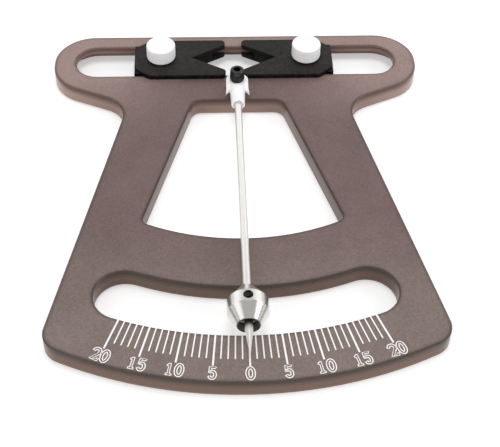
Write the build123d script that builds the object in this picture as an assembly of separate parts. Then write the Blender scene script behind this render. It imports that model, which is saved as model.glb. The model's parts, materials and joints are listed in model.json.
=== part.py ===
from build123d import *
import math
import os

# Blade pitch gauge: a smoke acrylic plate, two sliding V jaws that hold a rotor blade,
# and a weighted pointer that hangs from a pivot and reads degrees on an arc.
# All sizes in mm. X is right, Y goes up the plate, Z comes out of its front face.
# Sketches are drawn about the pivot, then moved so that the middle of the plate's
# back lies at the origin.

# Plate
plate_t = 6.2
scale_r = 110.0
rim_border = 16.85
arc_slot_w = 18.0
arc_slot_half_deg = 21.3
land_w = 20.1
window_drop = 6.6
window_half = 13.55
window_slope = 0.288
window_top_r = 4.0
window_low_r = 2.5
plate_half = 36.5
plate_slope = 0.216
neck_r = 10.0
foot_r = 7.5
shoulder_slope = 0.45
bar_half = 65.2
bar_top_border = 6.7
bar_low_border = 3.05
bar_end_r = 14.2
edge_break = 0.4

# Blade slot, and the ledges left in front of the wider channel behind it
slot_h = 15.7
slot_end_border = 7.7
ledge_t = 2.2
channel_gap = 1.3

# Jaws and back clamps
jaw_len = 32.6
jaw_lap = 2.3
jaw_t = 1.7
jaw_break = 0.3
vee_depth = 11.8
vee_half_deg = 30.0
jaw_chamfer_x = 5.4
jaw_chamfer_y = 4.3
jaw_corner_r = 2.6
tip_r = 1.5
left_tip_x = -3.8
right_tip_x = 2.3
screw_inset = 9.55
tongue_setback = 4.6
back_clamp_t = 1.2
rib_t = 1.2
rib_h = 1.5

# Thumb screws, their washers and nuts
screw_d = 3.9
screw_break = 0.4
head_d = 10.3
head_h = 5.2
head_break = 0.6
washer_d = 8.4
washer_t = 0.7
nut_af = 7.0
nut_t = 2.3
nut_break = 0.35

# Pivot
ball_d = 5.0
ball_h = 4.0
pivot_screw_d = 2.8
cap_d = 5.2
cap_top_d = 4.7
cap_h = 3.6
cap_break = 0.3
socket_af = 2.4
socket_depth = 1.6
pivot_washer_d = 7.6
pivot_washer_t = 0.8
pivot_screw_end = 0.3

# Ball link and rod
eye_wall = 1.35
eye_h = 2.4
eye_break = 0.35
jaw_to_eye = 1.2
web_w = 5.6
shoulder_t = 1.0
shoulder_len = 4.6
barb_flare = 0.25
barb_len = 6.8
barb_root = 5.0
rod_d = 2.5
rod_break = 0.2
rod_floor = 3.1
barrel_wall = 1.1
barrel_taper = 0.3
barrel_bevel = 1.0
barrel_end = 12.5
barrel_mouth = 0.5
needle_len = 8.5
needle_reach = 9.0
needle_end_r = 0.1

# Bob and its set screw
bob_d = 12.5
bob_offset = 0.65
bob_nose = 5.7
bob_band = 4.2
bob_tail = 4.4
bob_break = 0.1
bob_neck_wall = 0.55
bob_mouth_d = 6.6
bob_lip = 0.25
bob_mouth_depth = 3.4
bob_mouth_cone = 0.9
grub_d = 2.9
grub_len = 3.1
grub_tip_break = 0.5
grub_top_break = 0.2
grub_af = 1.5
grub_socket = 1.4

# Clearances, and how far a cutter runs past the face that it leaves
slide_gap = 0.1
face_gap = 0.05
turn_gap = 0.08
thread_gap = 0.04
fit_gap = 0.03
ball_gap = 0.05
cut_past = 1.0

# Sizes that follow from the ones above
front = plate_t
rim_r = scale_r + rim_border
arc_slot_r = scale_r - arc_slot_w / 2
window_r = scale_r - arc_slot_w - land_w
eye_d = ball_d + 2 * eye_wall
jaw_half = slot_h / 2 + jaw_lap
slot_mid = eye_d / 2 + jaw_to_eye + jaw_half
slot_half = bar_half - slot_end_border
channel_step = jaw_lap + channel_gap
bar_top = slot_mid + slot_h / 2 + bar_top_border
bar_low = slot_mid - slot_h / 2 - bar_low_border
pivot_y = (rim_r - bar_top) / 2
tongue_half = slot_h / 2 - slide_gap
clamp_top = front - ledge_t - face_gap
clamp_low = clamp_top - back_clamp_t
nut_low = clamp_low - nut_t
head_low = front + jaw_t + washer_t
ball_low = front + pivot_washer_t
axis_z = ball_low + ball_h / 2
cap_low = ball_low + ball_h
cap_top = cap_low + cap_h
barrel_end_d = rod_d + 2 * barrel_wall
barrel_d = barrel_end_d + 2 * barrel_taper
barrel_start = pivot_washer_d / 2 - (ball_h - barrel_d) / 2 - barrel_bevel + face_gap
rod_start = ball_d / 2 + rod_floor
bob_len = bob_nose + bob_band + bob_tail
bob_top = arc_slot_r + bob_offset - bob_len / 2
bob_end = bob_top + bob_len
needle_tip = scale_r + needle_reach


def placed(part):
    # From the pivot's own axes to the shared frame.
    return Pos(0, pivot_y, 0) * part


def prism(sketch, low, high):
    # The sketch raised from one level to another.
    return Pos(0, 0, low) * extrude(sketch, high - low)


def through(sketch):
    # A cutter that passes the plate and all that stands on it.
    return prism(sketch, -cut_past, cap_top + cut_past)


def near(sketch, x, y, reach=1.0):
    # The corners of a sketch that lie close to a point or to its mirror image.
    found = []
    for v in sketch.vertices():
        if abs(abs(v.X) - abs(x)) < reach and abs(v.Y - y) < reach:
            found.append(v)
    return found


def level_edges(body, which):
    # The edges at a body's lowest level, 0, or its highest, -1.
    return body.edges().group_by(Axis.Z)[which]


def face_edges(body, which):
    # Every edge of a body's lowest face, 0, or its highest, -1.
    return body.faces().sort_by(Axis.Z)[which].edges()


def mirrored_outline(half):
    # A closed outline from its right half, listed from the top down.
    other = [(-x, y) for x, y in reversed(half)]
    return make_face(Polyline(*half, *other, close=True))


def side_x(y):
    # Half width of the lower plate at a height.
    return plate_half - plate_slope * y


def window_x(y):
    # Half width of the window at a height.
    return window_half - window_slope * y


def arc_corner(half, slope, r):
    # Where a slanting side meets a circle about the pivot.
    a = slope * slope + 1
    b = -2 * half * slope
    c = half * half - r * r
    y = (-b - math.sqrt(b * b - 4 * a * c)) / (2 * a)
    return half - slope * y, y


def plate_outline():
    # Bar, sloping shoulders, neck and flared sides cut off by the rim arc.
    run = bar_half - plate_half
    neck_y = (bar_low - shoulder_slope * run) / (1 + shoulder_slope * plate_slope)
    neck_x = side_x(neck_y)
    low = -rim_r - cut_past
    half = [(bar_half, bar_top), (bar_half, bar_low), (neck_x, neck_y), (side_x(low), low)]
    shape = mirrored_outline(half) & Circle(rim_r)
    shape = fillet(near(shape, bar_half, bar_top), bar_end_r)
    shape = fillet(near(shape, bar_half, bar_low), bar_end_r)
    shape = fillet(near(shape, neck_x, neck_y), neck_r)
    foot_x, foot_y = arc_corner(plate_half, plate_slope, rim_r)
    return fillet(near(shape, foot_x, foot_y), foot_r)


def window_outline():
    # The tapered window with its arched lower edge.
    low = -window_r - cut_past
    shape = mirrored_outline([(window_x(-window_drop), -window_drop), (window_x(low), low)])
    shape = shape & Circle(window_r)
    shape = fillet(near(shape, window_x(-window_drop), -window_drop), window_top_r)
    low_x, low_y = arc_corner(window_half, window_slope, window_r)
    return fillet(near(shape, low_x, low_y), window_low_r)


def long_slot(step):
    # The blade slot's outline, or one that stands outside it by a step.
    half = slot_half + step
    return Pos(0, slot_mid) * SlotOverall(2 * half, slot_h + 2 * step)


def scale_slot():
    # The curved slot in which the bob swings.
    arc = CenterArc((0, 0), arc_slot_r, -90 - arc_slot_half_deg, 2 * arc_slot_half_deg)
    return SlotArc(arc, arc_slot_w)


def gauge_plate():
    # One sheet with every opening and broken edges, then the channel and the pivot's hole.
    body = prism(plate_outline(), 0, front)
    for opening in (window_outline(), scale_slot(), long_slot(0)):
        body -= through(opening)
    body = chamfer(face_edges(body, -1), edge_break)
    body = chamfer(face_edges(body, 0), edge_break)
    body -= prism(long_slot(channel_step), -cut_past, front - ledge_t)
    return body - through(Circle(pivot_screw_d / 2 + turn_gap))


def vee(tip_x, side):
    # The notch that takes the blade's edge.
    rise = (vee_depth + cut_past) * math.tan(math.radians(vee_half_deg))
    apex = tip_x + side * vee_depth
    mouth = tip_x - side * cut_past
    points = [(apex, slot_mid), (mouth, slot_mid + rise), (mouth, slot_mid - rise)]
    return make_face(Polyline(*points, close=True))


def jaw_outline(tip_x, side):
    # Face of a jaw: chamfered outer corners, a V at the inner end, round tips.
    end = tip_x + side * jaw_len
    cut = end - side * jaw_chamfer_x
    points = [(tip_x, slot_mid + jaw_half), (cut, slot_mid + jaw_half)]
    points += [(end, slot_mid + jaw_half - jaw_chamfer_y)]
    points += [(x, 2 * slot_mid - y) for x, y in reversed(points)]
    shape = make_face(Polyline(*points, close=True)) - vee(tip_x, side)
    middle = (end + cut) / 2
    tips = [v for v in shape.vertices() if abs(v.X - tip_x) < tip_r]
    shape = fillet(tips, tip_r)
    corners = [v for v in shape.vertices() if abs(v.X - middle) < jaw_chamfer_x]
    return fillet(corners, jaw_corner_r)


def screw_x(tip_x, side):
    # The thumb screw's axis.
    return tip_x + side * (jaw_len - screw_inset)


def on_screw(tip_x, side, part):
    # A part made about the origin, moved to the thumb screw's axis.
    return Pos(screw_x(tip_x, side), slot_mid) * part


def screw_hole(tip_x, side):
    return on_screw(tip_x, side, through(Circle(screw_d / 2 + turn_gap)))


def jaw(tip_x, side):
    # Front plate with a tongue that runs in the blade slot and bears on the back clamp.
    body = prism(jaw_outline(tip_x, side), front + face_gap, front + jaw_t)
    body = chamfer(face_edges(body, -1), jaw_break)
    reach = jaw_len - tongue_setback
    middle = tip_x + side * (tongue_setback + reach / 2)
    tongue = Pos(middle, slot_mid) * Rectangle(reach, 2 * tongue_half)
    tongue -= vee(tip_x, side)
    body += prism(tongue, clamp_top, front + jaw_t / 2)
    return body - screw_hole(tip_x, side)


def back_clamp(tip_x, side):
    # Thin plate that grips behind the ledges, notched like the jaw, with two ribs
    # that keep the nut from turning.
    body = prism(jaw_outline(tip_x, side), clamp_low, clamp_top)
    offset = nut_af / 2 + slide_gap + rib_t / 2
    for y in (-offset, offset):
        rib = Pos(0, y) * Rectangle(nut_af, rib_t)
        body += on_screw(tip_x, side, prism(rib, clamp_low - rib_h, clamp_low))
    return body - screw_hole(tip_x, side)


def thumb_screw(tip_x, side):
    # Head and shank in one piece.
    head = prism(Circle(head_d / 2), head_low, head_low + head_h)
    head = chamfer(level_edges(head, -1), head_break)
    shank = prism(Circle(screw_d / 2), nut_low, head_low + head_h / 2)
    shank = chamfer(level_edges(shank, 0), screw_break)
    return on_screw(tip_x, side, head + shank)


def flat_washer(outer_d, hole_d, low, high):
    # A plain punched ring.
    ring = Circle(outer_d / 2) - Circle(hole_d / 2 + turn_gap)
    return prism(ring, low, high)


def thumb_washer(tip_x, side):
    return on_screw(tip_x, side, flat_washer(washer_d, screw_d, front + jaw_t, head_low))


def clamp_nut(tip_x, side):
    # Hex nut with its corners cut back by a cone at its outer face.
    body = prism(RegularPolygon(nut_af / 2, 6, major_radius=False), nut_low, clamp_low)
    bound = prism(Circle(nut_af / math.sqrt(3)), nut_low, clamp_low)
    bound = chamfer(level_edges(bound, 0), nut_break)
    body = (body & bound) - through(Circle(screw_d / 2 + thread_gap))
    return on_screw(tip_x, side, body)


def pivot_washer():
    return flat_washer(pivot_washer_d, pivot_screw_d, front, ball_low)


def pivot_ball():
    # Ball with flats above and below and a hole for the screw.
    body = Pos(0, 0, axis_z) * Sphere(ball_d / 2)
    body = body & Pos(0, 0, axis_z) * Box(2 * ball_d, 2 * ball_d, ball_h)
    return body - through(Circle(pivot_screw_d / 2 + turn_gap))


def hex_socket(across, top, depth):
    # The cutter for a hex key's socket.
    return prism(RegularPolygon(across / 2, 6, major_radius=False), top - depth, top + cut_past)


def pivot_screw():
    # Screw with a tapered cap that holds the ball on the plate.
    head = Pos(0, 0, (cap_low + cap_top) / 2) * Cone(cap_d / 2, cap_top_d / 2, cap_h)
    head = chamfer(level_edges(head, -1), cap_break)
    shank = prism(Circle(pivot_screw_d / 2), pivot_screw_end, cap_low + cap_h / 2)
    return head + shank - hex_socket(socket_af, cap_top, socket_depth)


def turned(points):
    # A body turned about the pointer's axis from (radius, distance from pivot) points.
    outline = make_face(Polyline(*[(r, -d) for r, d in points], close=True))
    return Pos(0, 0, axis_z) * revolve(outline, Axis.Y)


def link_socket():
    # What the ball takes out of the eye.
    return Pos(0, 0, axis_z) * Sphere(ball_d / 2 + ball_gap)


def pointer_link():
    # Nylon ball link: an eye that snaps over the ball, barbed shoulders and a rod barrel.
    eye = prism(Circle(eye_d / 2), axis_z - eye_h / 2, axis_z + eye_h / 2)
    eye = chamfer(eye.edges().filter_by(GeomType.CIRCLE), eye_break)
    web_end = barrel_start + barrel_bevel
    web = Pos(0, -web_end / 2, axis_z) * Box(web_w, web_end, eye_h)
    barbs = mirrored_outline([(eye_d / 2, 0), (eye_d / 2, -shoulder_len),
                              (eye_d / 2 + barb_flare, -barb_len), (web_w / 2, -barb_root)])
    barbs = prism(barbs, axis_z - shoulder_t / 2, axis_z + shoulder_t / 2)
    r = barrel_d / 2
    end_r = barrel_end_d / 2
    barrel = turned([(0, barrel_start), (r - barrel_bevel, barrel_start), (r, web_end),
                     (end_r, barrel_end - eye_break), (end_r - eye_break, barrel_end), (0, barrel_end)])
    bore = rod_d / 2 + fit_gap
    hole = turned([(0, rod_start), (bore, rod_start), (bore, barrel_end - barrel_mouth),
                   (bore + barrel_mouth, barrel_end), (bore + barrel_mouth, barrel_end + cut_past),
                   (0, barrel_end + cut_past)])
    return eye + web + barbs + barrel - hole - link_socket()


def pointer_rod():
    # Rod whose lower end is ground to a needle.
    r = rod_d / 2
    return turned([(0, rod_start), (r - rod_break, rod_start), (r, rod_start + rod_break),
                   (r, needle_tip - needle_len), (needle_end_r, needle_tip - needle_end_r),
                   (0, needle_tip)])


def bob():
    # Turned weight: nose cone, band, tail cone and a hollow mouth around the needle.
    r = bob_d / 2
    bore = rod_d / 2 + fit_gap
    mouth = bob_mouth_d / 2
    band = bob_top + bob_nose
    tail = band + bob_band
    floor = bob_end - bob_mouth_depth
    outer = [(bore, bob_top), (rod_d / 2 + bob_neck_wall, bob_top), (r - bob_break, band - bob_break),
             (r, band + bob_break), (r, tail - bob_break), (r - bob_break, tail + bob_break),
             (mouth + bob_lip, bob_end)]
    inner = [(mouth, bob_end), (mouth, floor), (bore, floor - bob_mouth_cone)]
    hole = Pos(0, -(band + tail) / 2) * Circle(grub_d / 2 + fit_gap)
    return turned(outer + inner) - prism(hole, axis_z, axis_z + bob_d)


def bob_grub_screw():
    # Set screw whose tip bears on the rod.
    low = axis_z + rod_d / 2
    high = low + grub_len
    body = prism(Circle(grub_d / 2), low, high)
    body = chamfer(level_edges(body, 0), grub_tip_break)
    body = chamfer(level_edges(body, -1), grub_top_break)
    body -= hex_socket(grub_af, high, grub_socket)
    return Pos(0, -(bob_top + bob_nose + bob_band / 2)) * body


pieces = {"gauge_plate": gauge_plate()}
for name, tip_x, side in (("left", left_tip_x, -1), ("right", right_tip_x, 1)):
    pieces[name + "_jaw"] = jaw(tip_x, side)
    pieces[name + "_back_clamp"] = back_clamp(tip_x, side)
    pieces[name + "_thumb_screw"] = thumb_screw(tip_x, side)
    pieces[name + "_washer"] = thumb_washer(tip_x, side)
    pieces[name + "_nut"] = clamp_nut(tip_x, side)
pieces["pivot_washer"] = pivot_washer()
pieces["pivot_ball"] = pivot_ball()
pieces["pivot_screw"] = pivot_screw()
pieces["pointer_link"] = pointer_link()
pieces["pointer_rod"] = pointer_rod()
pieces["bob"] = bob()
pieces["bob_grub_screw"] = bob_grub_screw()

os.makedirs("parts", exist_ok=True)
for name, piece in pieces.items():
    export_step(placed(piece), "parts/" + name + ".step")
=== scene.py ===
import json
import math

import bmesh
import bpy
from mathutils import Matrix, Vector


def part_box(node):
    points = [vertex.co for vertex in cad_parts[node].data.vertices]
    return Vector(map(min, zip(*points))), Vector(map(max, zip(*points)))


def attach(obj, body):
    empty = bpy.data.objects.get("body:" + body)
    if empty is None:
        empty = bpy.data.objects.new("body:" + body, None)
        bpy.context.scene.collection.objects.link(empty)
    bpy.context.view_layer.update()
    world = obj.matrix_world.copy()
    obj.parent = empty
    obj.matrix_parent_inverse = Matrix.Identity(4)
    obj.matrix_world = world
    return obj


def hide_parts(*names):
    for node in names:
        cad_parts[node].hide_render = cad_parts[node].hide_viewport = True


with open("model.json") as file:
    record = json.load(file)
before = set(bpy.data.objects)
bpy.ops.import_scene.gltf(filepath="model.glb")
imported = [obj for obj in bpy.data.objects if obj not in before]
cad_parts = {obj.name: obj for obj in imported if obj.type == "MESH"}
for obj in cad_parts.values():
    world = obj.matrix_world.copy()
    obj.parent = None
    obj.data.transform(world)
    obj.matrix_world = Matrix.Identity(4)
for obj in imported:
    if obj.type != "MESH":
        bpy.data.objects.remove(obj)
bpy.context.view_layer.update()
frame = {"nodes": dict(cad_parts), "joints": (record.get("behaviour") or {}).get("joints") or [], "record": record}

# Looks of a blade pitch gauge: smoke acrylic, black jaws, white nylon and polished steel.
# Lengths are metres in the shared frame; MM turns millimetres into them.
MM = 0.001

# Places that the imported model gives
joints = {joint["name"]: joint for joint in frame["joints"]}
pivot = Vector(joints["pointer_swing"]["pos_m"])
plate_low, plate_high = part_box("gauge_plate")
front = plate_high.z
rim_r = pivot.y - plate_low.y
bob_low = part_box("bob")[0].y

# Degree scale
scale_r = rim_r - 16.85 * MM
slot_edge_break = 0.4 * MM
minor_tick = 8.7 * MM
major_tick = 11.2 * MM
minor_width = 0.4 * MM
major_width = 0.55 * MM
tick_half_range = 20
tick_every = 5
fill_proud = 0.03 * MM
fill_depth = 0.08 * MM
fill_middle = front + fill_proud - fill_depth / 2

# Numerals
numeral_r = rim_r - 3.2 * MM
numeral_h = 4.6 * MM
numeral_gap = 0.1 * MM
digit_widths = {"0": 2.65 * MM, "1": 2.8 * MM, "2": 2.7 * MM, "5": 2.45 * MM}
numeral_stroke = 0.78 * MM
numeral_line = 0.30 * MM

# Pointer's rod and its ground point
point_len = 9.8 * MM
point_from_bob = 1.7 * MM
point_r = 0.04 * MM
point_tip = 0.03 * MM
point_steps = 12
rod_break = 0.2 * MM
rod_steps = 24
rod_sides = 48

# Thumb screws
head_h = 5.2 * MM
head_round = 0.5 * MM
round_steps = 6
foot_inset = 0.5 * MM
foot_break = 0.12 * MM
foot_h = 0.4 * MM
side_steps = 4
knurl_count = 44
knurl_steps = 6
knurl_depth = 0.14 * MM
knurl_start = 0.2 * MM
shank_r = 1.95 * MM
shank_break = 0.4 * MM
shank_spare = 0.6 * MM
thread_pitch = 0.7 * MM
thread_steps = 6
thread_depth = 0.28 * MM
thread_end = 0.3 * MM
thread_skin = 0.1 * MM

# Finishes, with the painted shade along edges and inside the bob's bore
noise_low = 0.3
noise_high = 0.7
facing_fade = (0.95, 0.6)
edge_shade_w = 2.2 * MM
edge_shade = 0.7
edge_fade = (0.999, 0.90)
bevel_samples = 8
bore_r = 3.3 * MM
bore_soft = 0.2 * MM
bore_reach = (5 * MM, 4 * MM)
crisp_angle = 35

# Studio, with each lamp's name, place, aim, width, height and power
floor_reach = 3.0
floor_drop = 0.05 * MM
floor_white = 0.82
floor_lift = 0.38
room_level = 0.47
lamps = [
    ("overhead_softbox", (0.0, 0.1, 1.4), (0.0, 0.0, 0.0), 0.6, 0.6, 5.8),
    ("back_wall", (0.0, 1.3, 0.78), (0.0, 0.0, 0.78), 4.0, 1.2, 14.0),
    ("right_softbox", (1.0, -0.12, 0.56), (0.0, 0.0, 0.0), 0.7, 0.5, 2.6),
    ("left_softbox", (-0.86, -0.42, 0.52), (0.0, 0.0, 0.0), 1.0, 0.6, 1.7),
    ("front_fill", (0.1, -1.3, 0.25), (0.0, 0.0, 0.0), 1.6, 0.5, 5.6),
]

# Camera, solved from the degree ticks
lens = 82.8
sensor = 36.0
camera_place = (-12.26 * MM, -265.22 * MM, 269.35 * MM)
camera_turn = (43.311, -1.015, -2.229)


def new_object(name, data):
    # A named object at the origin, unturned.
    piece = bpy.data.objects.new(name, data)
    bpy.context.scene.collection.objects.link(piece)
    return piece


def plain_mesh(piece):
    # Turns a piece and its modifiers into one plain mesh.
    bpy.context.view_layer.update()
    evaluated = piece.evaluated_get(bpy.context.evaluated_depsgraph_get())
    mesh = bpy.data.meshes.new_from_object(evaluated)
    piece.modifiers.clear()
    if piece.type == "MESH":
        piece.data = mesh
        return piece
    name = piece.name
    bpy.data.objects.remove(piece)
    return new_object(name, mesh)


class Tree:
    # A short way to write a geometry or shader node tree.

    def __init__(self, tree):
        self.tree = tree

    def add(self, kind, inputs=None, **settings):
        node = self.tree.nodes.new(kind)
        for key, value in settings.items():
            setattr(node, key, value)
        for key, value in (inputs or {}).items():
            self.feed(node.inputs[key], value)
        return node

    def feed(self, socket, value):
        if isinstance(value, bpy.types.NodeSocket):
            self.tree.links.new(value, socket)
        else:
            socket.default_value = value

    def math(self, operation, a, b=0.0):
        return self.add("ShaderNodeMath", {0: a, 1: b}, operation=operation).outputs[0]

    def times(self, a, b):
        return self.math("MULTIPLY", a, b)

    def vector(self, **parts):
        return self.add("ShaderNodeCombineXYZ", parts).outputs[0]

    def split(self, vector):
        return self.add("ShaderNodeSeparateXYZ", {"Vector": vector}).outputs

    def length(self, vector):
        node = self.add("ShaderNodeVectorMath", {0: vector}, operation="LENGTH")
        return node.outputs["Value"]

    def ramp(self, value, low, high, start=0.0, end=1.0):
        return self.add("ShaderNodeMapRange", {"Value": value, "From Min": low, "From Max": high,
                                               "To Min": start, "To Max": end}).outputs[0]

    def noise(self, vector, scale, detail, roughness=0.5):
        return self.add("ShaderNodeTexNoise", {"Vector": vector, "Scale": scale, "Detail": detail,
                                               "Roughness": roughness}).outputs["Fac"]


def geometry_tree(name, sizes):
    # A geometry node tree with named inputs; gives its builder, inputs and socket names.
    tree = bpy.data.node_groups.new(name, "GeometryNodeTree")
    tree.interface.new_socket("Geometry", in_out="INPUT", socket_type="NodeSocketGeometry")
    keys = {}
    for label, kind in sizes:
        socket = tree.interface.new_socket(label, in_out="INPUT", socket_type=kind)
        keys[label] = socket.identifier
    tree.interface.new_socket("Geometry", in_out="OUTPUT", socket_type="NodeSocketGeometry")
    build = Tree(tree)
    return build, build.add("NodeGroupInput").outputs, keys


def finish_tree(build, geometry, material):
    # Every tree ends by making instances real and giving them their material.
    real = build.add("GeometryNodeRealizeInstances", {"Geometry": geometry})
    dressed = build.add("GeometryNodeSetMaterial", {"Geometry": real.outputs[0],
                                                    "Material": material})
    build.add("NodeGroupOutput", {"Geometry": dressed.outputs[0]})


def run_tree(piece, build, keys, values):
    # Runs a tree on a piece with the values given and makes the result plain.
    modifier = piece.modifiers.new(build.tree.name, "NODES")
    modifier.node_group = build.tree
    for label, value in values.items():
        modifier[keys[label]] = value
    return plain_mesh(piece)


def value_group(name, inputs, outputs):
    # A shader node group of values; gives its builder, inputs and outputs.
    tree = bpy.data.node_groups.new(name, "ShaderNodeTree")
    tree.interface.new_socket("Vector", in_out="INPUT", socket_type="NodeSocketVector")
    for label, value in inputs.items():
        socket = tree.interface.new_socket(label, in_out="INPUT", socket_type="NodeSocketFloat")
        socket.default_value = value
    for label in outputs:
        tree.interface.new_socket(label, in_out="OUTPUT", socket_type="NodeSocketFloat")
    build = Tree(tree)
    return build, build.add("NodeGroupInput").outputs, build.add("NodeGroupOutput").inputs


def make_grain():
    # Fine speckle over a slow drift in tone, as a cast sheet or a moulding has.
    build, given, out = value_group("grain", {"Speckle": 2500.0, "Drift": 60.0},
                                    ("Speckle", "Drift"))
    for label, detail in (("Speckle", 2.0), ("Drift", 3.0)):
        build.feed(out[label], build.noise(given["Vector"], given[label], detail, 0.6))
    return build.tree


def make_scuffs():
    # Thin scratches and handling marks: a mask that is mostly 0.
    scratch_scale = 900.0
    scratch = (0.6, 0.75)
    patch = (0.45, 0.7)
    build, given, out = value_group("scuffs", {"Scale": 120.0, "Amount": 0.5}, ("Mask",))
    stretched = build.add("ShaderNodeMapping", {"Vector": given["Vector"], "Scale": (1.0, 0.08, 1.0),
                                                "Rotation": (0.2, 0.1, 0.6)})
    lines = build.noise(stretched.outputs[0], scratch_scale, 3.0, 0.7)
    where = build.noise(given["Vector"], given["Scale"], 2.0)
    marks = build.times(build.ramp(lines, *scratch), build.ramp(where, *patch))
    build.feed(out["Mask"], build.times(marks, given["Amount"]))
    return build.tree


def make_edge_wear():
    # Where a surface bends sharply: 1 on worn outer edges, broken up by noise.
    sharp = (0.52, 0.6)
    chip_scale = 700.0
    chip = (0.35, 0.65)
    build, given, out = value_group("edge_wear", {"Pointiness": 0.5, "Amount": 1.0}, ("Mask",))
    edge = build.ramp(given["Pointiness"], *sharp)
    chips = build.ramp(build.noise(given["Vector"], chip_scale, 3.0), *chip)
    build.feed(out["Mask"], build.times(build.times(edge, chips), given["Amount"]))
    return build.tree


def make_turning():
    # Lathe feed marks: fine rings along Y, uneven in depth.
    build, given, out = value_group("turning_marks", {"Rings per metre": 9000.0}, ("Height",))
    along = build.times(build.split(given["Vector"])["Y"], given["Rings per metre"])
    build.feed(out["Height"], build.noise(build.vector(Y=along), 1.0, 2.0))
    return build.tree


groups = {"grain": make_grain(), "scuffs": make_scuffs(), "edge_wear": make_edge_wear(),
          "turning": make_turning()}


class Finish(Tree):
    # One material: its Principled shader, object coordinates and the shared groups.

    def __init__(self, name, **constants):
        self.material = bpy.data.materials.new(name)
        self.material.use_nodes = True
        super().__init__(self.material.node_tree)
        self.shader = self.tree.nodes["Principled BSDF"]
        given = self.add("ShaderNodeTexCoord").outputs
        self.where = given["Object"]
        self.facing = given["Normal"]
        for key, value in constants.items():
            self.shader.inputs[key.replace("_", " ")].default_value = value

    def group(self, name, **values):
        node = self.add("ShaderNodeGroup", node_tree=groups[name])
        self.feed(node.inputs["Vector"], self.where)
        for key, value in values.items():
            self.feed(node.inputs[key.replace("_", " ")], value)
        return node.outputs

    def spread(self, noise, start=0.0, end=1.0):
        # A noise's middle range, stretched to run from start to end.
        return self.ramp(noise, noise_low, noise_high, start, end)

    def mix(self, factor, a, b):
        node = self.add("ShaderNodeMix", data_type="RGBA")
        self.feed(node.inputs["Factor"], factor)
        for socket, value in ((node.inputs[6], a), (node.inputs[7], b)):
            if isinstance(value, tuple):
                value = (*value, 1.0)
            self.feed(socket, value)
        return node.outputs[2]

    def worn(self, tint, bare, amount):
        # The tint with its sharp outer edges rubbed through.
        point = self.add("ShaderNodeNewGeometry").outputs["Pointiness"]
        mask = self.group("edge_wear", Pointiness=point, Amount=amount)["Mask"]
        return self.mix(mask, tint, bare)

    def scuffed(self, start, end, scale, amount):
        # A value that goes from start to end where there are scuffs.
        mask = self.group("scuffs", Scale=scale, Amount=amount)["Mask"]
        return self.ramp(mask, 0.0, 1.0, start, end)

    def on_wall(self):
        # 1 on walls and broken edges, 0 on faces square to Z.
        return self.ramp(self.math("ABSOLUTE", self.split(self.facing)["Z"]), *facing_fade)

    def beside_edge(self, width):
        # 1 along the object's edges, 0 further than the width from them.
        rounded = self.add("ShaderNodeBevel", {"Radius": width}, samples=bevel_samples).outputs[0]
        flat = self.add("ShaderNodeNewGeometry").outputs["Normal"]
        match = self.add("ShaderNodeVectorMath", {0: rounded, 1: flat}, operation="DOT_PRODUCT")
        return self.ramp(match.outputs["Value"], *edge_fade)

    def set(self, key, value):
        self.feed(self.shader.inputs[key], value)

    def set_bump(self, height, distance, strength):
        node = self.add("ShaderNodeBump", {"Height": height, "Distance": distance,
                                           "Strength": strength})
        self.set("Normal", node.outputs[0])


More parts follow.
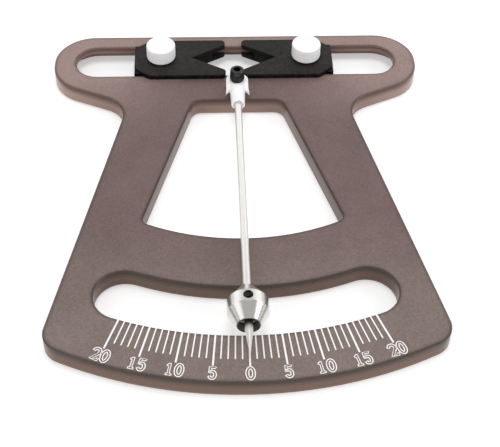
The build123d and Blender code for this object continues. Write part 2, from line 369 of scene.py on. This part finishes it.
def smoke_acrylic():
    # Frosted mauve-grey faces: greyer at the scale, paler at the clamp's ends and back edge from a painted glow,
    # darker beside the edges from painted shade. Smoother brown walls: a painted shade band under the front edge,
    # a painted glow at the foot, painted glow and a redder shade band at the clamp.
    face_dark = (0.114, 0.076, 0.070)
    face_light = (0.192, 0.127, 0.120)
    near_dark = (0.152, 0.114, 0.101)
    near_light = (0.258, 0.197, 0.174)
    # Painted glow: paler tints toward the clamp's ends and back edge, for light let through and reflected by the
    # sheet.
    far_painted_glow_dark = (0.235, 0.166, 0.148)
    far_painted_glow_light = (0.360, 0.250, 0.228)
    # Wall tints: the middle is the sheet's own brown; the foot and clamp tints are painted glow, the top tints
    # painted shade.
    wall_foot_painted_glow = (0.230, 0.140, 0.105)
    wall_middle = (0.160, 0.098, 0.072)
    wall_top_painted_shade = (0.042, 0.026, 0.019)
    wall_clamp_painted_glow = (0.540, 0.385, 0.342)
    wall_clamp_top_painted_shade = (0.125, 0.062, 0.050)
    # Painted shade beside the edges.
    edge_painted_shade = (0.020, 0.014, 0.012)
    scale_fade = (plate_low.y + 66.3 * MM, plate_low.y + 20.3 * MM)
    glow_clamp_fade = (pivot.y - 22.55 * MM, pivot.y + 7.45 * MM)
    glow_back_fade = (plate_high.y - 12.3 * MM, plate_high.y - 5.3 * MM)
    glow_ends_fade = (plate_high.x - 47.2 * MM, plate_high.x - 19.2 * MM)
    glow_foot_fade = (0.0, 0.3)
    shade_top_fade = (0.5, 0.9)
    clamp_glow_share = 0.7
    speckle_share = 0.65
    drift_share = 0.35
    face_rough = 0.46
    wall_rough = 0.28
    scuff_gloss = 0.2
    look = Finish("smoke_acrylic_sheet", IOR=1.49, Specular_IOR_Level=0.28)
    x, y, z = look.split(look.where)
    grain = look.group("grain", Speckle=1500.0, Drift=70.0)
    tone = look.math("ADD", look.spread(grain["Speckle"], 0.0, speckle_share),
                     look.spread(grain["Drift"], 0.0, drift_share))
    # Painted glow: strongest at the clamp's ends and along the back edge.
    clamp_painted_light = look.ramp(y, *glow_clamp_fade)
    glow_outwards = look.ramp(look.math("ABSOLUTE", x), *glow_ends_fade)
    painted_glow_share = look.times(clamp_painted_light, look.math("MAXIMUM", glow_outwards, look.ramp(y, *glow_back_fade)))
    face = look.mix(look.ramp(y, *scale_fade), look.mix(tone, face_dark, face_light),
                    look.mix(tone, near_dark, near_light))
    face = look.mix(painted_glow_share, face, look.mix(tone, far_painted_glow_dark, far_painted_glow_light))
    # Painted shade along the edges.
    face = look.mix(look.times(look.beside_edge(edge_shade_w), edge_shade), face, edge_painted_shade)
    # Walls: painted glow at the foot and at the clamp, painted shade band under the top edge.
    height = look.math("DIVIDE", z, front)
    wall_with_painted_light_and_shade = look.mix(look.ramp(height, *glow_foot_fade), wall_foot_painted_glow, wall_middle)
    wall_with_painted_light_and_shade = look.mix(look.times(clamp_painted_light, clamp_glow_share), wall_with_painted_light_and_shade, wall_clamp_painted_glow)
    high = look.mix(clamp_painted_light, wall_top_painted_shade, wall_clamp_top_painted_shade)
    wall_with_painted_light_and_shade = look.mix(look.ramp(height, *shade_top_fade), wall_with_painted_light_and_shade, high)
    on_wall = look.on_wall()
    look.set("Base Color", look.mix(on_wall, face, wall_with_painted_light_and_shade))
    scuffs = look.group("scuffs", Scale=60.0, Amount=0.25)
    rough = look.ramp(on_wall, 0.0, 1.0, face_rough, wall_rough)
    gloss = look.times(scuffs["Mask"], scuff_gloss)
    look.set("Roughness", look.math("SUBTRACT", rough, gloss))
    look.set_bump(grain["Speckle"], 0.03 * MM, 0.5)
    return look.material


def black_jaw():
    dark = (0.0202, 0.0177, 0.0161)
    light = (0.0220, 0.0194, 0.0177)
    # Painted shade: the side walls get a much darker copy of the black.
    wall_with_painted_light_and_shade = (0.0016, 0.0014, 0.0012)
    bare = (0.11, 0.105, 0.10)
    look = Finish("black_jaw_matt", IOR=1.46, Specular_IOR_Level=0.09)
    grain = look.group("grain", Speckle=3800.0, Drift=90.0)
    tint = look.mix(look.on_wall(), look.mix(look.spread(grain["Drift"]), dark, light), wall_with_painted_light_and_shade)
    look.set("Base Color", look.worn(tint, bare, amount=0.15))
    look.set("Roughness", look.scuffed(start=0.49, end=0.44, scale=150.0, amount=0.6))
    look.set_bump(grain["Speckle"], 0.02 * MM, 0.6)
    return look.material


def white_nylon():
    dark = (0.95, 0.948, 0.94)
    light = (0.985, 0.985, 0.98)
    rubbed = (0.78, 0.76, 0.73)
    look = Finish("white_nylon_moulded", IOR=1.53, Subsurface_Weight=0.25,
                  Subsurface_Scale=0.4 * MM)
    grain = look.group("grain", Speckle=1800.0, Drift=260.0)
    scuffs = look.group("scuffs", Scale=300.0, Amount=0.35)
    tint = look.mix(look.spread(grain["Drift"]), dark, light)
    look.set("Base Color", look.mix(scuffs["Mask"], tint, rubbed))
    look.set("Roughness", look.spread(grain["Drift"], 0.34, 0.46))
    look.set_bump(grain["Speckle"], 0.015 * MM, 0.5)
    return look.material


def black_steel():
    dark = (0.012, 0.013, 0.012)
    light = (0.028, 0.029, 0.027)
    bare = (0.30, 0.29, 0.28)
    look = Finish("black_oxide_steel", Metallic=0.7)
    grain = look.group("grain", Speckle=3000.0, Drift=400.0)
    tint = look.mix(look.spread(grain["Drift"]), dark, light)
    look.set("Base Color", look.worn(tint, bare, amount=0.6))
    look.set("Roughness", look.spread(grain["Drift"], 0.32, 0.44))
    look.set_bump(grain["Speckle"], 0.01 * MM, 0.5)
    return look.material


def plated_steel():
    dark = (0.56, 0.56, 0.55)
    light = (0.70, 0.70, 0.68)
    look = Finish("bright_plated_steel", Metallic=1.0)
    grain = look.group("grain", Speckle=2200.0, Drift=350.0)
    look.set("Base Color", look.mix(look.spread(grain["Drift"]), dark, light))
    look.set("Roughness", look.scuffed(start=0.24, end=0.42, scale=300.0, amount=0.8))
    look.set_bump(grain["Speckle"], 0.008 * MM, 0.5)
    return look.material


def turned_steel(name, light, metallic, roughness, rings, depth, mouth):
    # Polished steel from a lathe: the bob and the ground rod, both with painted shade inside the bob's bore.
    # The mouth says between which places, from the bob's low end along Y, the painted shade sets in.
    drift_dim = 0.95
    dark = tuple(value * drift_dim for value in light)
    shadow = (0.10, 0.09, 0.075)
    scuff_rough = 0.14
    look = Finish(name, Metallic=metallic)
    x, y, z = look.split(look.where)
    grain = look.group("grain", Speckle=2500.0, Drift=200.0)
    bright = look.mix(look.spread(grain["Drift"]), dark, light)
    from_axis = look.length(look.vector(X=x, Z=look.math("SUBTRACT", z, pivot.z)))
    # Painted shade inside the bob's bore and on the rod where it goes in.
    painted_bore_shade = look.ramp(from_axis, bore_r, bore_r - bore_soft)
    for start, end in (bore_reach, mouth):
        painted_bore_shade = look.times(painted_bore_shade, look.ramp(y, bob_low + start, bob_low + end))
    look.set("Base Color", look.mix(painted_bore_shade, bright, shadow))
    look.set("Roughness", look.scuffed(roughness, roughness + scuff_rough, scale=200.0, amount=0.6))
    look.set_bump(look.group("turning", Rings_per_metre=rings)["Height"], depth, 0.6)
    return look.material


def white_fill():
    # Engraver's paint in the scale: slightly uneven white.
    dark = (0.90, 0.89, 0.87)
    light = (0.97, 0.96, 0.94)
    look = Finish("white_scale_paint", IOR=1.45)
    grain = look.group("grain", Speckle=3000.0, Drift=500.0)
    look.set("Base Color", look.mix(look.spread(grain["Drift"]), dark, light))
    look.set("Roughness", look.spread(grain["Speckle"], 0.5, 0.65))
    look.set_bump(grain["Speckle"], 0.01 * MM, 0.5)
    return look.material


finishes = {
    "smoke_acrylic": smoke_acrylic(),
    "black_jaw": black_jaw(),
    "white_nylon": white_nylon(),
    "black_steel": black_steel(),
    "plated_steel": plated_steel(),
    "bob_steel": turned_steel("turned_bob_steel", (0.75, 0.74, 0.715), metallic=1.0,
                              roughness=0.25, rings=7000.0, depth=0.005 * MM,
                              mouth=(-0.1 * MM, 0.0)),
    "polished_steel": turned_steel("ground_rod_steel", (0.82, 0.81, 0.78), metallic=0.6,
                                   roughness=0.3, rings=1500.0, depth=0.0012 * MM,
                                   mouth=(-1.0 * MM, 0.3 * MM)),
    "white_fill": white_fill(),
}


def dress_cad_nodes():
    # Each CAD node keeps its shape and gets the finish of its material slot.
    for subpart in frame["record"]["subparts"]:
        node = subpart["node"]
        slot = "bob_steel" if node == "bob" else subpart["material_slot"]
        mesh = frame["nodes"][node].data
        mesh.materials.clear()
        mesh.materials.append(finishes[slot])


def degree_ticks():
    # One bar for each degree, longer and wider every fifth, that runs down the broken edge.
    build, size, keys = geometry_tree("degree_ticks", [
        ("Count", "NodeSocketInt"), ("Every", "NodeSocketInt"), ("Radius", "NodeSocketFloat"),
        ("Minor length", "NodeSocketFloat"), ("Major length", "NodeSocketFloat"),
        ("Minor width", "NodeSocketFloat"), ("Major width", "NodeSocketFloat"),
        ("Edge break", "NodeSocketFloat"), ("Depth", "NodeSocketFloat"),
        ("Centre", "NodeSocketVector"), ("Material", "NodeSocketMaterial")])
    points = build.add("GeometryNodeMeshLine", {"Count": size["Count"]}).outputs[0]
    index = build.add("GeometryNodeInputIndex").outputs[0]
    middle = build.math("DIVIDE", build.math("SUBTRACT", size["Count"], 1.0), 2.0)
    angle = build.times(build.math("SUBTRACT", index, middle), math.radians(1))
    is_major = build.math("LESS_THAN", build.math("MODULO", index, size["Every"]), 0.5)

    def chosen(minor, major):
        gain = build.times(is_major, build.math("SUBTRACT", size[major], size[minor]))
        return build.math("ADD", size[minor], gain)

    def placed(radius, height):
        x = build.times(radius, build.math("SINE", angle))
        y = build.times(radius, build.times(build.math("COSINE", angle), -1.0))
        spot = build.vector(X=x, Y=y, Z=height)
        at = build.add("ShaderNodeVectorMath", {0: spot, 1: size["Centre"]}, operation="ADD")
        return build.add("GeometryNodeSetPosition", {"Geometry": points,
                                                     "Position": at.outputs[0]}).outputs[0]

    def bars(radius, height, shape, scale):
        node = build.add("GeometryNodeInstanceOnPoints", {
            "Points": placed(radius, height), "Instance": shape,
            "Rotation": build.vector(Z=angle), "Scale": scale})
        return node.outputs[0]

    width = chosen("Minor width", "Major width")
    flat_length = build.math("SUBTRACT", chosen("Minor length", "Major length"), size["Edge break"])
    start = build.math("ADD", size["Radius"], size["Edge break"])
    flat_r = build.math("ADD", start, build.times(flat_length, 0.5))
    cube = build.add("GeometryNodeMeshCube", {"Size": (1.0, 1.0, 1.0)}).outputs[0]
    flat = bars(flat_r, 0.0, cube, build.vector(X=width, Y=flat_length, Z=size["Depth"]))
    half_break = build.times(size["Edge break"], 0.5)
    slope_length = build.times(size["Edge break"], math.sqrt(2))
    slope_size = build.vector(X=1.0, Y=slope_length, Z=size["Depth"])
    level = build.add("GeometryNodeTransform", {"Geometry": cube, "Scale": slope_size})
    leaning = build.add("GeometryNodeTransform", {"Geometry": level.outputs[0],
                                                  "Rotation": (math.radians(-45), 0.0, 0.0)})
    slope = bars(build.math("ADD", size["Radius"], half_break), build.times(half_break, -1.0),
                 leaning.outputs[0], build.vector(X=width, Y=1.0, Z=1.0))
    both = build.add("GeometryNodeJoinGeometry")
    for part in (flat, slope):
        build.tree.links.new(part, both.inputs[0])
    finish_tree(build, both.outputs[0], size["Material"])
    piece = new_object("scale_ticks", bpy.data.meshes.new("scale_ticks"))
    piece = run_tree(piece, build, keys, {
        "Count": 2 * tick_half_range + 1, "Every": tick_every, "Radius": scale_r,
        "Minor length": minor_tick, "Major length": major_tick, "Minor width": minor_width,
        "Major width": major_width, "Edge break": slot_edge_break, "Depth": fill_depth,
        "Centre": (pivot.x, pivot.y, fill_middle), "Material": finishes["white_fill"]})
    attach(piece, "plate")


def oval(cx, cy, rx, ry, start, end, steps=20):
    # Points along an oval arc, in degrees.
    points = []
    for i in range(steps + 1):
        a = math.radians(start + (end - start) * i / steps)
        points.append(Vector((cx + rx * math.cos(a), cy + ry * math.sin(a))))
    return points


def offset_line(points, closed, half):
    # The line at one side of a stroke's middle line.
    moved = []
    count = len(points)
    for i, point in enumerate(points):
        before = points[(i - 1) % count] if closed or i > 0 else point
        after = points[(i + 1) % count] if closed or i < count - 1 else point
        along = (after - before).normalized()
        moved.append(point + Vector((-along.y, along.x)) * half)
    return moved


def stroke_outlines(points, closed):
    # The closed lines around a stroke of constant width.
    left = offset_line(points, closed, numeral_stroke / 2)
    right = offset_line(points, closed, -numeral_stroke / 2)
    if closed:
        return [left, right]
    return [left + right[::-1]]


def digit_lines(digit):
    # The closed lines that outline a serif digit, centred. Their shapes are shares of its size.
    w = digit_widths[digit] / 2 - numeral_stroke / 2
    h = numeral_h - numeral_stroke
    low = numeral_stroke / 2 - numeral_h / 2
    top = low + h
    if digit == "0":
        return stroke_outlines(oval(0, 0, w, h / 2, 90, 450, 36)[:-1], True)
    if digit == "1":
        outline = [(-0.75, 0.78), (-0.75, 0.86), (-0.2, 1.0), (0.3, 1.0), (0.3, 0.12), (0.8, 0.06),
                   (0.8, -0.06), (-0.8, -0.06), (-0.8, 0.06), (-0.3, 0.12), (-0.3, 0.74)]
        return [[Vector((x * w, low + y * h)) for x, y in outline]]
    if digit == "2":
        crown = oval(0, top - 0.29 * h, w, 0.29 * h, 165, -20)
        sweep = [Vector((-w, low)), Vector((w, low)), Vector((w, low + 0.16 * h))]
        return stroke_outlines(crown + sweep, False)
    bowl = oval(0, low + 0.31 * h, w, 0.31 * h, 140, -155, 26)
    flag = [Vector((0.9 * w, top + 0.04 * h)), Vector((0.8 * w, top - 0.03 * h)),
            Vector((-0.72 * w, top - 0.03 * h))]
    return stroke_outlines(flag + bowl, False)


def number_lines(text):
    # The closed lines of a whole number, its middle at X 0.
    across = sum(digit_widths[digit] for digit in text) + numeral_gap * (len(text) - 1)
    edge = -across / 2
    lines = []
    for digit in text:
        shift = Vector((edge + digit_widths[digit] / 2, 0))
        edge += digit_widths[digit] + numeral_gap
        for line in digit_lines(digit):
            lines.append([point + shift for point in line])
    return lines


def scale_numerals():
    # Double-line serif numbers at every fifth degree, turned to face the pivot.
    curve = bpy.data.curves.new("scale_numerals", "CURVE")
    curve.dimensions = "3D"
    base = Vector((pivot.x, pivot.y, fill_middle))
    for degrees in range(-tick_half_range, tick_half_range + 1, tick_every):
        turn = Matrix.Rotation(math.radians(degrees), 4, "Z")
        for line in number_lines(str(abs(degrees))):
            spline = curve.splines.new("POLY")
            spline.points.add(len(line) - 1)
            spline.use_cyclic_u = True
            for spot, point in zip(spline.points, line):
                local = Vector((point.x, point.y - numeral_r, 0.0))
                spot.co = (*(base + turn @ local), 1.0)
    build, given, keys = geometry_tree("engraved_line", [
        ("Line width", "NodeSocketFloat"), ("Depth", "NodeSocketFloat"),
        ("Material", "NodeSocketMaterial")])
    profile = build.add("GeometryNodeCurvePrimitiveQuadrilateral", {
        "Width": given["Line width"], "Height": given["Depth"]})
    upright = build.add("GeometryNodeSetCurveNormal", {"Curve": given["Geometry"]}, mode="Z_UP")
    ribbon = build.add("GeometryNodeCurveToMesh", {"Curve": upright.outputs[0],
                                                   "Profile Curve": profile.outputs[0]})
    flat = build.add("GeometryNodeSetShadeSmooth", {"Geometry": ribbon.outputs[0],
                                                    "Shade Smooth": False})
    finish_tree(build, flat.outputs[0], given["Material"])
    piece = run_tree(new_object("scale_numerals", curve), build, keys, {
        "Line width": numeral_line, "Depth": fill_depth, "Material": finishes["white_fill"]})
    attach(piece, "plate")


def lathe(name, profile, steps):
    # A closed body turned about Z from (radius, height) points that start and end on the axis.
    body = bmesh.new()
    rings = []
    for r, z in profile:
        if r == 0:
            rings.append([body.verts.new((0, 0, z))])
            continue
        ring = []
        for i in range(steps):
            a = 2 * math.pi * i / steps
            ring.append(body.verts.new((r * math.cos(a), r * math.sin(a), z)))
        rings.append(ring)
    for lower, upper in zip(rings, rings[1:]):
        for i in range(steps):
            j = (i + 1) % steps
            if len(lower) == 1:
                body.faces.new((lower[0], upper[j], upper[i]))
            elif len(upper) == 1:
                body.faces.new((lower[i], lower[j], upper[0]))
            else:
                body.faces.new((lower[i], lower[j], upper[j], upper[i]))
    bmesh.ops.recalc_face_normals(body, faces=body.faces)
    mesh = bpy.data.meshes.new(name)
    body.to_mesh(mesh)
    body.free()
    return new_object(name, mesh)


def smooth_below(piece, degrees):
    # Smooth shading, with edges sharper than the angle kept crisp.
    body = bmesh.new()
    body.from_mesh(piece.data)
    for face in body.faces:
        face.smooth = True
    for edge in body.edges:
        if len(edge.link_faces) == 2:
            edge.smooth = edge.calc_face_angle() < math.radians(degrees)
    body.to_mesh(piece.data)
    body.free()


def rib_cutter():
    # Cuts straight ribs into a turned body, or a thread where there are turns per metre.
    build, size, keys = geometry_tree("cut_ribs", [
        ("Ribs", "NodeSocketFloat"), ("Turns per metre", "NodeSocketFloat"),
        ("Depth", "NodeSocketFloat"), ("Low", "NodeSocketFloat"), ("High", "NodeSocketFloat"),
        ("Least radius", "NodeSocketFloat"), ("Material", "NodeSocketMaterial")])
    x, y, z = build.split(build.add("GeometryNodeInputPosition").outputs[0])
    turns = build.math("DIVIDE", size["Ribs"], 2 * math.pi)
    around = build.times(build.math("ARCTAN2", y, x), turns)
    phase = build.math("ADD", around, build.times(z, size["Turns per metre"]))
    wave = build.times(build.math("PINGPONG", phase, 0.5), 2.0)
    radius = build.length(build.vector(X=x, Y=y))
    inside = build.times(build.math("GREATER_THAN", z, size["Low"]),
                         build.math("LESS_THAN", z, size["High"]))
    inside = build.times(inside, build.math("GREATER_THAN", radius, size["Least radius"]))
    cut = build.times(size["Depth"], build.times(wave, inside))
    share = build.math("DIVIDE", cut, build.math("MAXIMUM", radius, 1e-6))
    back = build.times(share, -1.0)
    inward = build.vector(X=build.times(x, back), Y=build.times(y, back))
    moved = build.add("GeometryNodeSetPosition", {"Geometry": size["Geometry"], "Offset": inward})
    finish_tree(build, moved.outputs[0], size["Material"])
    return build, keys


def thumb_screw(side, cutter, keys):
    # Knurled head with rounded rims on a threaded shank, made about its own axis.
    low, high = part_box(side + "_thumb_screw")
    head_r = (high.x - low.x) / 2
    head_low = high.z - head_h
    side_low = head_low + foot_h
    side_top = high.z - head_round
    shank_low = low.z + shank_break
    profile = [(0, low.z), (shank_r - shank_break, low.z), (shank_r, shank_low)]
    ring_gap = thread_pitch / thread_steps
    rings = int((head_low - low.z - shank_spare) / ring_gap)
    for i in range(1, rings + 1):
        profile.append((shank_r, shank_low + i * ring_gap))
    profile += [(shank_r, head_low), (head_r - foot_inset, head_low),
                (head_r - foot_break, head_low + foot_break), (head_r, side_low)]
    for i in range(1, side_steps + 1):
        profile.append((head_r, side_low + (side_top - side_low) * i / side_steps))
    for i in range(1, round_steps + 1):
        a = math.radians(90 * i / round_steps)
        profile.append((head_r - head_round * (1 - math.cos(a)), side_top + head_round * math.sin(a)))
    profile += [(head_r / 2, high.z), (0, high.z)]
    piece = lathe(side + "_knurled_screw", profile, knurl_count * knurl_steps)
    piece = run_tree(piece, cutter, keys, {
        "Ribs": float(knurl_count), "Turns per metre": 0.0, "Depth": knurl_depth,
        "Low": head_low + knurl_start, "High": side_top + head_round / 2,
        "Least radius": head_r - head_round, "Material": finishes["white_nylon"]})
    piece = run_tree(piece, cutter, keys, {
        "Ribs": 1.0, "Turns per metre": 1 / thread_pitch, "Depth": thread_depth,
        "Low": low.z + thread_end, "High": head_low - thread_end,
        "Least radius": shank_r - thread_skin, "Material": finishes["white_nylon"]})
    axis = Vector(((low.x + high.x) / 2, (low.y + high.y) / 2, 0))
    piece.data.transform(Matrix.Translation(axis))
    smooth_below(piece, crisp_angle)
    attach(piece, side + "_screw")
    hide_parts(side + "_thumb_screw")


def pointer_needle():
    # The rod, with a squared far end and a long ground point, made about its own axis.
    low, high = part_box("pointer_rod")
    rod_r = (high.x - low.x) / 2
    shoulder = bob_low - point_from_bob
    tip = shoulder - point_len
    far_end = high.y - rod_break
    profile = [(0, tip), (point_r, tip + point_tip)]
    for i in range(1, point_steps + 1):
        along = i / point_steps
        profile.append((point_r + (rod_r - point_r) * along, shoulder - point_len * (1 - along)))
    for i in range(1, rod_steps + 1):
        profile.append((rod_r, shoulder + (far_end - shoulder) * i / rod_steps))
    profile += [(rod_r - rod_break, high.y), (0, high.y)]
    piece = lathe("pointer_needle", profile, rod_sides)
    piece.data.materials.append(finishes["polished_steel"])
    laid_down = Matrix.Rotation(math.radians(-90), 4, "X")
    piece.data.transform(Matrix.Translation((pivot.x, 0, pivot.z)) @ laid_down)
    smooth_below(piece, crisp_angle)
    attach(piece, "pointer")
    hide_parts("pointer_rod")


def white_floor():
    # Paper that takes the object's shadow and looks a little brighter than its light makes it.
    mesh = bpy.data.meshes.new("floor")
    corners = [(-1, -1), (1, -1), (1, 1), (-1, 1)]
    mesh.from_pydata([(x * floor_reach, y * floor_reach, -floor_drop) for x, y in corners], [],
                     [(0, 1, 2, 3)])
    paper = bpy.data.materials.new("white_paper")
    paper.use_nodes = True
    build = Tree(paper.node_tree)
    build.tree.nodes.clear()
    path = build.add("ShaderNodeLightPath").outputs
    mirrored = build.math("MAXIMUM", path["Is Glossy Ray"], path["Is Transmission Ray"])
    seen = build.math("MAXIMUM", path["Is Camera Ray"], mirrored)
    diffuse = build.add("ShaderNodeBsdfDiffuse", {"Color": (floor_white,) * 3 + (1.0,)})
    lift = build.add("ShaderNodeEmission", {"Color": (1.0, 1.0, 1.0, 1.0),
                                            "Strength": build.times(seen, floor_lift)})
    both = build.add("ShaderNodeAddShader", {0: diffuse.outputs[0], 1: lift.outputs[0]})
    build.add("ShaderNodeOutputMaterial", {"Surface": both.outputs[0]})
    mesh.materials.append(paper)
    new_object("floor", mesh)


def studio():
    # A bright wall behind, soft lamps above and around, a pale room.
    world = bpy.data.worlds.new("room")
    bpy.context.scene.world = world
    world.use_nodes = True
    room = world.node_tree.nodes["Background"]
    room.inputs["Color"].default_value = (1.0, 1.0, 1.0, 1.0)
    room.inputs["Strength"].default_value = room_level
    for name, place, aim, wide, high, power in lamps:
        data = bpy.data.lights.new(name, "AREA")
        data.shape = "RECTANGLE"
        data.size = wide
        data.size_y = high
        data.energy = power
        turn = (Vector(aim) - Vector(place)).to_track_quat("-Z", "Y").to_matrix().to_4x4()
        new_object(name, data).matrix_world = Matrix.Translation(place) @ turn


def photo_camera():
    # The lens, place and aim of the photograph's view.
    data = bpy.data.cameras.new("photo_camera")
    data.sensor_width = sensor
    data.lens = lens
    data.clip_start = 0.01
    camera = new_object("photo_camera", data)
    camera.location = camera_place
    camera.rotation_euler = [math.radians(a) for a in camera_turn]
    bpy.context.scene.camera = camera


photo_camera()
white_floor()
studio()
dress_cad_nodes()
degree_ticks()
scale_numerals()
rib_tree, rib_keys = rib_cutter()
for side in ("left", "right"):
    thumb_screw(side, rib_tree, rib_keys)
pointer_needle()

bpy.context.scene.view_settings.view_transform = "Standard"
